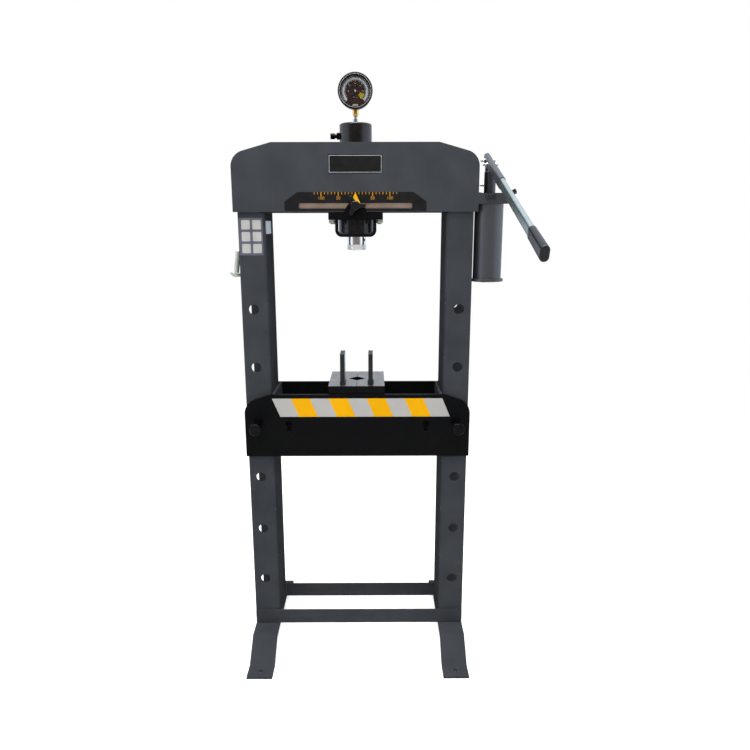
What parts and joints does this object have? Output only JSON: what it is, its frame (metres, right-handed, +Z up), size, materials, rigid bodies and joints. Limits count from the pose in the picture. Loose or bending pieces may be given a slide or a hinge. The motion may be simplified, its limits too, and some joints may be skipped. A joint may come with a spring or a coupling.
{
  "type": "hydraulic press",
  "caption": "Floor-standing hydraulic workshop press with channel frame, pinned table, sliding cylinder carriage and hand pump with lever.",
  "frame": {"origin": "on the floor at the centre of the four floor bolt holes in the feet", "axes": "+X to the right seen from the front, +Y to the back, +Z up"},
  "size_m": [0.8736, 1.0077, 1.81],
  "materials": {
    "frame_paint": "grey powder coat, fine texture",
    "bare_steel": "bare drawn bar",
    "black_paint": "satin black paint",
    "ground_steel": "ground top, black sides",
    "black_oxide": "black oxide",
    "zinc": "bright zinc plate",
    "black_plastic": "moulded",
    "yellow_paint": "yellow paint",
    "black_gloss": "gloss black paint",
    "chrome": "hard chrome",
    "bright_steel": "turned",
    "spring_steel": "wound wire",
    "brass": "turned hexagon",
    "dial": "printed dial",
    "lens": "clear window",
    "needle_white": "white paint",
    "pump_steel": "dark satin",
    "black_rubber": "moulded grip"
  },
  "bodies": {
    "frame": {"left_leg": "frame_paint", "right_leg": "frame_paint", "left_foot": "frame_paint", "right_foot": "frame_paint", "front_crossbar": "frame_paint", "rear_crossbar": "frame_paint", "head_front_plate": "frame_paint", "head_rear_plate": "frame_paint", "front_rail": "bare_steel", "rear_rail": "bare_steel", "left_tie_plate": "frame_paint", "right_tie_plate": "frame_paint", "table_front_plate": "black_paint", "table_rear_plate": "black_paint", "table_left_end": "black_paint", "table_right_end": "black_paint", "left_arbor_plate": "ground_steel", "right_arbor_plate": "ground_steel", "pump_bracket": "frame_paint", "bracket_screws": "black_oxide", "reservoir": "frame_paint", "reservoir_base": "frame_paint", "drain_plug": "zinc", "pump_block": "frame_paint", "pump_barrel": "pump_steel", "bleed_nipple": "zinc", "fulcrum_post": "frame_paint", "fulcrum_pin": "zinc", "spare_drift": "zinc"},
    "carriage": {"carriage_plate": "black_paint", "left_hanger": "bare_steel", "right_hanger": "bare_steel", "carriage_nuts": "zinc", "clamp_tongue": "black_paint", "clamp_nut": "bare_steel", "position_pointer": "yellow_paint", "pull_handle": "black_paint", "cylinder_tube": "black_gloss", "cylinder_collar": "black_gloss", "hose_fitting": "black_oxide", "gauge_adapter": "zinc", "gauge_stem": "brass", "gauge_case": "black_gloss", "gauge_bezel": "black_gloss", "gauge_dial": "dial", "gauge_lens": "lens", "return_spring": "spring_steel"},
    "ram": {"ram": "chrome", "ram_saddle": "bright_steel", "saddle_screw": "black_oxide"},
    "clamp_knob": {"clamp_knob": "black_plastic"},
    "gauge_needle": {"gauge_needle": "needle_white"},
    "lever": {"lever_socket": "frame_paint", "lever_tube": "zinc", "lever_grip": "black_rubber"},
    "piston": {"pump_piston": "chrome", "piston_pin": "zinc"},
    "release_knob": {"release_knob": "black_plastic"},
    "left_pin": {"left_table_pin": "black_oxide"},
    "right_pin": {"right_table_pin": "black_oxide"}
  },
  "joints": [
    {"name": "carriage_slide", "type": "slide", "parent": "frame", "child": "carriage", "axis": [1, 0, 0], "range_m": [-0.12, 0.12]},
    {"name": "ram_slide", "type": "slide", "parent": "carriage", "child": "ram", "axis": [0, 0, -1], "range_m": [0, 0.16], "stiffness_N_per_m": 500, "springref_m": -0.25, "deforming": ["return_spring"]},
    {"name": "knob_turn", "type": "hinge", "parent": "carriage", "child": "clamp_knob", "pos_m": [0, -0.1, 1.43325], "axis": [0, 1, 0], "continuous": true},
    {"name": "needle_turn", "type": "hinge", "parent": "carriage", "child": "gauge_needle", "pos_m": [0, -0.015, 1.759], "axis": [0, 1, 0], "range_deg": [0, 270], "stiffness_Nm_per_rad": 0.002, "springref_deg": -17.19},
    {"name": "lever_swing", "type": "hinge", "parent": "frame", "child": "lever", "pos_m": [0.397, 0, 1.56641], "axis": [1, 0, 0], "range_deg": [-44, 0]},
    {"name": "piston_slide", "type": "slide", "parent": "frame", "child": "piston", "axis": [0, 0, 1], "range_m": [0, 0.0362]},
    {"name": "release_turn", "type": "hinge", "parent": "frame", "child": "release_knob", "pos_m": [0.427, -0.045, 1.4515], "axis": [0.8829, 0, 0.4695], "range_deg": [0, 180]},
    {"name": "left_pin_slide", "type": "slide", "parent": "frame", "child": "left_pin", "axis": [0, -1, 0], "range_m": [0, 0.2]},
    {"name": "right_pin_slide", "type": "slide", "parent": "frame", "child": "right_pin", "axis": [0, -1, 0], "range_m": [0, 0.2]}
  ],
  "couplings": [
    {"joint": "piston_slide", "follows": "lever_swing", "m_per_rad": -0.0468}
  ]
}
